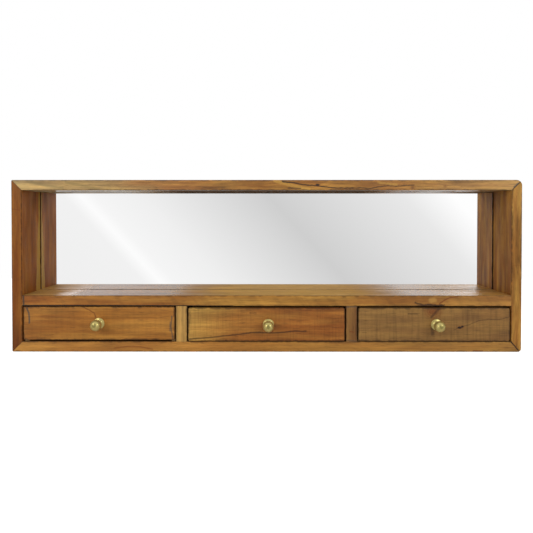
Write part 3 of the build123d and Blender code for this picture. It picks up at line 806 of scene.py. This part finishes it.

# %% [markdown]
# ### The shelf
#
# The shelf's top is rubbed to a gloss at both ends, where it mirrors the bright studio, and stays
# matt in the middle. Its lower front edge is chipped above the right drawer, and carries a painted
# shadow, with some wear, where the gap over the left drawer is widest.

# %% Shelf
shelf = WoodFinish(
    "shelf_wood",
    43.0,
    [
        (0.0, (139, 81, 27)), (0.3, (142, 87, 30)), (0.42, (172, 123, 50)),
        (0.6, (170, 121, 50)), (0.72, (152, 100, 40)), (1.0, (158, 110, 50)),
    ],
    BOARD_REACH,
)
add_grain(shelf, gold=0.25, rust=0.25)
add_saw_marks(shelf, 60.0, 0.15, 0.8)
paint_bay_shade_and_grime(shelf)
CHIPS = [(350, 115.5), (360, 113), (370, 110), (380, 112), (401, 109.5), (418, 111)]
add_line(shelf, CHIPS, 3.0, strength=0.85, shake=7.0)
add_line(shelf, [(356, 109), (414, 109)], 2.0, strength=0.7, shake=6.0)
add_line(shelf, [(406, 113), (417, 121), (430, 127.6), (450, 130.5)], 2.2, RUST, 0.85)
add_knot(shelf, 391, 122, 26, 16, 0.5, 0.1, paint(196, 148, 74))
add_line(shelf, [(180, 130), (187, 129.5)], 1.6, strength=0.6)
# A painted shadow, with some wear, along the shelf's lower front edge.
add_line(shelf, [(-574, 108.9), (-260, 108.5), (-80, 107.6)], 3.0, paint(16, 9, 4), 1.0, 1.5)
add_line(shelf, [(-573, 133), (-572, 112)], 3.0, paint(52, 46, 38), 0.8, 3.0)
add_worn_edges(shelf, "shelf_board", strength=0.7)
SHELF_TOP = [
    (0.0, 0.0), (0.09, 0.5), (0.14, 0.95), (0.3, 0.85), (0.42, 0.1), (0.68, 0.15), (0.8, 1.0), (0.92, 0.6),
]
polish(shelf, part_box("shelf_board")[1].z, SHELF_TOP, paint(222, 184, 104), 0.38)
shelf.close("shelf_board", bump=0.12)

# %% [markdown]
# ### The dividers
#
# Two short upright boards stand between the drawers. The left one is pale, the right one dark, with
# a dotted line of filler at its joints.

# %% Dividers
DIVIDER_REACH = (0.02, 0.11)
left_divider = WoodFinish(
    "left_divider_wood", 47.0, [(0.0, (178, 138, 74)), (1.0, (172, 134, 74))], DIVIDER_REACH, UPRIGHT
)
add_grain(left_divider, gold=0.3, rust=0.1)
paint_bay_shade_and_grime(left_divider)
add_worn_edges(left_divider, "left_divider")
left_divider.close("left_divider")

right_divider = WoodFinish(
    "right_divider_wood", 53.0, [(0.0, (130, 90, 44)), (1.0, (126, 88, 44))], DIVIDER_REACH, UPRIGHT
)
add_grain(right_divider, gold=0.1, rust=0.3)
add_line(right_divider, [(190, 107), (211, 106.5)], 3.0, SLATE, 0.6, 7.0)
add_line(right_divider, [(190, 27), (211, 26)], 3.0, SLATE, 0.45, 7.0)
add_line(right_divider, [(197, 48), (205, 47)], 2.0, RUST, 0.8)
paint_bay_shade_and_grime(right_divider)
add_worn_edges(right_divider, "right_divider")
right_divider.close("right_divider")

# %% [markdown]
# ### The drawer fronts
#
# Each front was cut from another plank, so each gets its own tones and marks. The left one is plain,
# with a short crack above the knob and some blue-grey rubbed marks at both ends.

# %% Left drawer front
left_front = WoodFinish(
    "left_front_wood",
    61.0,
    [(0.0, (142, 87, 30)), (0.5, (160, 104, 36)), (1.0, (166, 110, 42))],
    (-0.573, -0.216),
)
add_grain(left_front, bands=0.35, clouds=0.3, gold=0.2, rust=0.2)
add_saw_marks(left_front, 140.0, 0.08)
add_line(left_front, [(-434, 107), (-417, 98), (-406, 92), (-403, 82)], 1.9, paint(92, 44, 14), 0.65)
add_line(left_front, [(-565, 103), (-560, 92), (-559, 68)], 3.0, SLATE, 0.8)
add_line(left_front, [(-223, 84), (-225, 60), (-221, 32)], 2.4, SLATE, 0.65)
add_line(left_front, [(-227, 70), (-227, 50)], 3.0, SLATE, 0.5)
# Wider, darker edges: wear, and a painted shade of the gap round the drawer.
add_worn_edges(left_front, "left_drawer_front", width=0.003, strength=0.85)
left_front.close("left_drawer_front")

# %% [markdown]
# The middle front goes from yellow to red, with fine saw marks and one long dark line that rises
# towards the right.

# %% Middle drawer front
middle_front = WoodFinish(
    "middle_front_wood",
    67.0,
    [(0.0, (184, 142, 68)), (0.14, (172, 126, 56)), (0.32, (150, 95, 36)), (1.0, (142, 80, 26))],
    (-0.185, 0.185),
)
add_grain(middle_front, bands=0.3, clouds=0.35, gold=0.18, rust=0.24)
add_saw_marks(middle_front, 260.0, 0.16)
LONG_LINE = [(-181, 30), (-123, 35), (-68, 41), (-32, 46), (25, 45), (67, 49), (93, 49)]
add_line(middle_front, LONG_LINE, 2.6, strength=0.7)
add_line(middle_front, [(-39, 92), (-25, 92)], 2.2, strength=0.5)
add_line(middle_front, [(-10, 66), (8, 60), (14, 48)], 4.0, RUST, 0.5)
add_line(middle_front, [(-180, 95), (-179, 70)], 1.4, strength=0.5, shake=8.0)
add_knot(middle_front, -95, 27, 8, 6, 0.6)
# Wider, darker edges: wear, and a painted shade of the gap round the drawer.
add_worn_edges(middle_front, "middle_drawer_front", width=0.003, strength=0.85)
middle_front.close("middle_drawer_front")

# %% [markdown]
# The right front is grey-brown, with upright saw marks, a red-brown knot over the brass knob, a black
# one to the right of it, and a hair crack that runs from the black knot to the end.

# %% Right drawer front
right_front = WoodFinish(
    "right_front_wood", 71.0, [(0.0, (138, 102, 54)), (1.0, (127, 91, 46))], (0.216, 0.573)
)
add_grain(right_front, bands=0.2, streaks=0.2, clouds=0.25, gold=0.12, rust=0.14)
add_saw_marks(right_front, 130.0, 0.22)
for x in (260, 299, 441, 473, 542):
    add_line(right_front, [(x, 100), (x + 1, 28)], 2.2, strength=0.16)
add_line(right_front, [(334, 90), (355, 90)], 2.4, strength=0.5)
add_knot(right_front, 392, 96, 26, 20, 0.45, 0.7, RUST)
add_line(right_front, [(406, 102), (394, 89), (388, 82)], 4.0, strength=0.55)
add_line(right_front, [(391, 57), (391, 42)], 6.0, strength=0.5)
add_knot(right_front, 455, 57.5, 14, 7, 1.0, 0.3, paint(20, 14, 10))
add_knot(right_front, 461, 60, 9, 6, 1.0, 0.2, paint(20, 14, 10))
add_line(right_front, [(457, 58), (441, 52)], 1.6, strength=0.45)
HAIR_CRACK = [(462, 60), (478, 65), (501, 74), (522, 77), (551, 77), (572, 83)]
add_line(right_front, HAIR_CRACK, 1.7, strength=0.45)
# Wider, darker edges: wear, and a painted shade of the gap round the drawer.
add_worn_edges(right_front, "right_drawer_front", width=0.003, strength=0.85)
right_front.close("right_drawer_front")

# %% [markdown]
# ## Drawer boxes, plywood and tongues
#
# Behind the fronts, the drawers are of a pale softwood, left dry and without oil. One finish does
# for all three backs and one for all six sides, whose grain runs from front to back.

# %% Drawer boxes
DRAWERS = ("left", "middle", "right")
SIDES = ("left", "right")
PALE, PALER = (196, 160, 108), (206, 172, 122)
DEPTH_REACH = (-0.05, 0.05)
dry = {"bands": 0.2, "streaks": 0.2, "clouds": 0.12, "gold": 0.1, "rust": 0.08, "pores": 0.2}

back_wood = WoodFinish("drawer_back_wood", 83.0, [(0.0, PALE), (1.0, PALER)], BOARD_REACH)
add_grain(back_wood, **dry)
back_wood.close(*[f"{drawer}_drawer_back" for drawer in DRAWERS], bump=0.1)

side_wood = WoodFinish(
    "drawer_side_wood", 89.0, [(0.0, PALER), (1.0, PALE)], DEPTH_REACH, FRONT_TO_BACK
)
add_grain(side_wood, **dry)
side_wood.close(*[f"{drawer}_drawer_side_{side}" for drawer in DRAWERS for side in SIDES], bump=0.1)

# %% [markdown]
# The drawer bottoms and the back panel are birch plywood, with a wavier figure. The loose tongues
# that lock the mitres are offcuts, hidden in the finished frame.

# %% Plywood and tongues
plywood = WoodFinish(
    "birch_plywood",
    97.0,
    [(0.0, (186, 150, 102)), (0.5, (178, 140, 92)), (1.0, (190, 154, 106))],
    BOARD_REACH,
)
add_grain(plywood, bands=0.25, streaks=0.2, clouds=0.2, waviness=0.03, gold=0.15, rust=0.15, pores=0.25)
plywood.close("back_panel", *[f"{drawer}_drawer_bottom" for drawer in DRAWERS], bump=0.1)

tongue_wood = WoodFinish(
    "tongue_wood", 101.0, [(0.0, (182, 146, 98)), (1.0, (174, 136, 88))], DEPTH_REACH, FRONT_TO_BACK
)
add_grain(tongue_wood, **dry)
tongue_wood.close(
    *[f"mitre_tongue_{level}_{side}" for level in ("top", "bottom") for side in SIDES], bump=0.1
)

# %% [markdown]
# ## Steel and brass
#
# A metal in Blender is a Principled shader with Metallic at 1, whose base colour tints what it
# reflects. New metal looks like plastic in a render. Clouds of tarnish that dull and darken it, and a
# fine unevenness from polishing, make it believable.

# %% Metal finishes
POLISH_MARKS = 0.0002


def metal(name, seed, colour, tarnish_colour, roughness, metallic=1.0):
    """A metal with cloudy tarnish. It gives back its material, place, base colour and shader."""
    material = bpy.data.materials.new(name)
    material.use_nodes = True
    tree = material.node_tree
    tree.nodes.clear()
    place = put(tree, "TexCoord").outputs["Object"]
    tarnish = fade(tree, noise(tree, place, (170.0, 170.0, 170.0), seed, 4.0), 0.4, 0.75)
    fine = noise(tree, place, (1400.0, 1400.0, 1400.0), seed + 1)
    base = mix_colours(tree, tarnish, colour, tarnish_colour)
    rough = fade(tree, tarnish, 0.0, 1.0, roughness, roughness + 0.12)
    bumps = put(tree, "Bump", {"Strength": 0.12, "Distance": POLISH_MARKS, "Height": fine})
    inputs = {"Base Color": base, "Metallic": metallic, "Roughness": rough, "Normal": bumps.outputs[0]}
    shader = put(tree, "BsdfPrincipled", inputs)
    put(tree, "OutputMaterial", {"Surface": shader.outputs[0]})
    return material, place, base, shader


BRIGHT_ZINC, OLD_ZINC = paint(182, 184, 186), paint(132, 130, 126)
steel = metal("zinc_steel", 3.0, BRIGHT_ZINC, OLD_ZINC, 0.3)[0]
dress(steel, "back_panel_staples", "hanger_plate_left", "hanger_plate_right", "hanger_screws")
dress(steel, *[f"{drawer}_drawer_{part}" for drawer in DRAWERS for part in ("brads", "knob_screw")])
print("metal:", steel.name, "on the staples, hanger plates, screws and brads")

# %% [markdown]
# The brass of the knobs is lacquered, so part of it shows its plain colour and Metallic stays below
# 1. Hands don't reach the neck, so old polish has turned dark there. The nose of the ball is painted
# dark olive, a painted reflection of the dark space in front of the knob. Both patterns need only the
# distance from an axis and the distance from the drawer.

# %% Brass
BRASS = paint(196, 180, 112)
WORN_BRASS = paint(180, 160, 92)
LACQUERED = 0.72


def from_axis(tree, across, up):
    """The distance from an axis, from the ways across it and up from it."""
    squares = calc(tree, "ADD", calc(tree, "POWER", across, 2.0), calc(tree, "POWER", up, 2.0))
    return calc(tree, "SQRT", squares)


brass, place, base, shader = metal("turned_brass", 5.0, BRASS, WORN_BRASS, 0.32, LACQUERED)
tree = brass.node_tree
spot = split(tree, place)
way_out = calc(tree, "MULTIPLY", spot["Y"], -1.0)
at_neck = fade(tree, from_axis(tree, spot["X"], spot["Z"]), 0.0095, 0.0062)
hollow = calc(tree, "MULTIPLY", at_neck, fade(tree, way_out, 0.0135, 0.009))
base = mix_colours(tree, calc(tree, "MULTIPLY", hollow, 0.25), base, paint(84, 52, 26))
# A painted reflection: the nose of the ball is painted dark olive.
raised_centre = calc(tree, "SUBTRACT", spot["Z"], 0.002)
nose_reflection_spot = fade(tree, from_axis(tree, spot["X"], raised_centre), 0.0066, 0.0022)
nose = calc(tree, "MULTIPLY", nose_reflection_spot, fade(tree, way_out, 0.022, 0.026))
base = mix_colours(tree, calc(tree, "MULTIPLY", nose, 0.65), base, paint(92, 84, 34))
fill(tree, shader.inputs["Base Color"], base)
print("metal:", brass.name, "with", len(tree.nodes), "nodes")

# %% [markdown]
# ## The knobs
#
# The solids show a knob with flat facets, good enough for the drawing. The real one was turned on a
# lathe, and Blender can do the same: draw half of its outline, then spin it round the axis. The
# outline is measured in millimetres as (distance from the drawer, radius): a rose that sweeps in to
# the neck, a raised bead, and a round head.

# %% Outline of a knob
KNOB_SIDES = 64


def arc(centre, radius, start, end, steps):
    """Points on an arc, with angles in radians."""
    turns = [start + (end - start) * i / steps for i in range(steps + 1)]
    return [(centre[0] + radius * math.cos(t), centre[1] + radius * math.sin(t)) for t in turns]


def arc_through(first, middle, last, steps=10):
    """Points on the arc through three points."""
    (ax, ay), (bx, by), (cx, cy) = first, middle, last
    spread = 2 * (ax * (by - cy) + bx * (cy - ay) + cx * (ay - by))
    squares = [x * x + y * y for x, y in (first, middle, last)]
    x = (squares[0] * (by - cy) + squares[1] * (cy - ay) + squares[2] * (ay - by)) / spread
    y = (squares[0] * (cx - bx) + squares[1] * (ax - cx) + squares[2] * (bx - ax)) / spread
    turns = [math.atan2(py - y, px - x) for px, py in (first, middle, last)]
    for i in (1, 2):
        while abs(turns[i] - turns[i - 1]) > math.pi:
            turns[i] += math.copysign(2 * math.pi, turns[i - 1] - turns[i])
    return arc((x, y), math.hypot(ax - x, ay - y), turns[0], turns[2], steps)


outline = [(0.0, 12.7), (0.3, 13.0), (1.1, 13.0), (1.4, 12.8)]
outline += arc_through((1.4, 12.8), (3.2, 8.4), (6.2, 6.0))[1:]
outline += arc_through((6.2, 6.0), (7.5, 8.25), (8.8, 6.0))[1:]
outline += arc_through((10.6, 6.0), (14.5, 11.0), (20.5, 12.75), 12)
outline += arc((20.5, 0.0), 12.75, math.pi / 2, 0, 18)[1:]
furthest = max(out for out, radius in outline)
print("knob outline:", len(outline), "points, reaching", round(furthest, 2), "mm")

# %% [markdown]
# To spin the outline, each of its points becomes a ring of points round the axis, and each pair of
# rings is joined by a belt of four-sided faces. The last point closes the ball with triangles, and
# one flat face closes the foot. The knob then rides on its drawer in place of the faceted solid.

# %% Spinning the outline
def lathe_knob(drawer):
    """A turned knob: the outline spun round the axis of the knob's own node."""
    node = f"{drawer}_drawer_knob"
    low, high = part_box(node)
    turns = [2 * math.pi * i / KNOB_SIDES for i in range(KNOB_SIDES)]
    points = [
        (r * math.cos(t) / MM_PER_M, -out / MM_PER_M, r * math.sin(t) / MM_PER_M)
        for out, r in outline[:-1]
        for t in turns
    ]
    points.append((0, -outline[-1][0] / MM_PER_M, 0))
    nose = len(points) - 1
    faces = [tuple(reversed(range(KNOB_SIDES)))]
    for ring in range(len(outline) - 1):
        here, there = ring * KNOB_SIDES, (ring + 1) * KNOB_SIDES
        for i in range(KNOB_SIDES):
            j = (i + 1) % KNOB_SIDES
            if there == nose:
                faces.append((here + i, here + j, nose))
            else:
                faces.append((here + i, here + j, there + j, there + i))
    mesh = bpy.data.meshes.new(f"{drawer}_knob")
    mesh.from_pydata(points, [], faces)
    for face in mesh.polygons:
        face.use_smooth = len(face.vertices) < KNOB_SIDES
    mesh.materials.append(brass)
    piece = bpy.data.objects.new(f"{drawer}_knob", mesh)
    bpy.context.scene.collection.objects.link(piece)
    piece.location = ((low.x + high.x) / 2, high.y, (low.z + high.z) / 2)
    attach(piece, f"{drawer}_drawer")
    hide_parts(node)
    print("knob:", piece.name, "at", [round(c, 4) for c in piece.location], "with", len(faces), "faces")


for drawer in DRAWERS:
    lathe_knob(drawer)

# %% [markdown]
# ## The mirror
#
# Silvered glass is the plainest shader of all: a metal with no roughness and almost no colour. At
# both ends and along the shelf the glass meets the wood with a thin dark line, uneven and wider on
# the right. The line is a painted shade of the narrow gap there, part of the material, from the
# distance to each edge.

# %% Mirror glass
LEFT_SEAM, RIGHT_SEAM, SHELF_SEAM = 0.0011, 0.0017, 0.0007
silver = bpy.data.materials.new("silvered_glass")
silver.use_nodes = True
tree = silver.node_tree
tree.nodes.clear()
place = put(tree, "TexCoord").outputs["Object"]
low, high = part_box("mirror_glass")
spot = split(tree, place)
wobble = fade(tree, noise(tree, place, (60.0, 60.0, 60.0), 2.0, 3.0), 0.3, 0.7, 0.75, 1.35)
to_left = calc(tree, "DIVIDE", calc(tree, "SUBTRACT", spot["X"], low.x), LEFT_SEAM)
to_right = calc(tree, "DIVIDE", calc(tree, "SUBTRACT", high.x, spot["X"]), RIGHT_SEAM)
above_shelf = calc(tree, "SUBTRACT", spot["Z"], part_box("shelf_board")[1].z)
to_shelf = calc(tree, "DIVIDE", above_shelf, SHELF_SEAM)
nearest = calc(tree, "MINIMUM", calc(tree, "MINIMUM", to_left, to_right), to_shelf)
# The seam is a painted shade: dark, matt and not metallic.
gap_shade = fade(tree, calc(tree, "DIVIDE", nearest, wobble), 1.1, 0.8)
inputs = {
    "Base Color": mix_colours(tree, gap_shade, paint(254, 254, 254), paint(52, 40, 26)),
    "Metallic": calc(tree, "SUBTRACT", 1.0, gap_shade),
    "Roughness": fade(tree, gap_shade, 0.0, 1.0, 0.0, 0.5),
}
shader = put(tree, "BsdfPrincipled", inputs)
put(tree, "OutputMaterial", {"Surface": shader.outputs[0]})
dress(silver, "mirror_glass")
print("mirror:", [round(c, 3) for c in (high - low)], "m")

# %% [markdown]
# ## The size
#
# The bounds of the dressed object are measured.

# %% Sizes and finish
low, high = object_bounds()
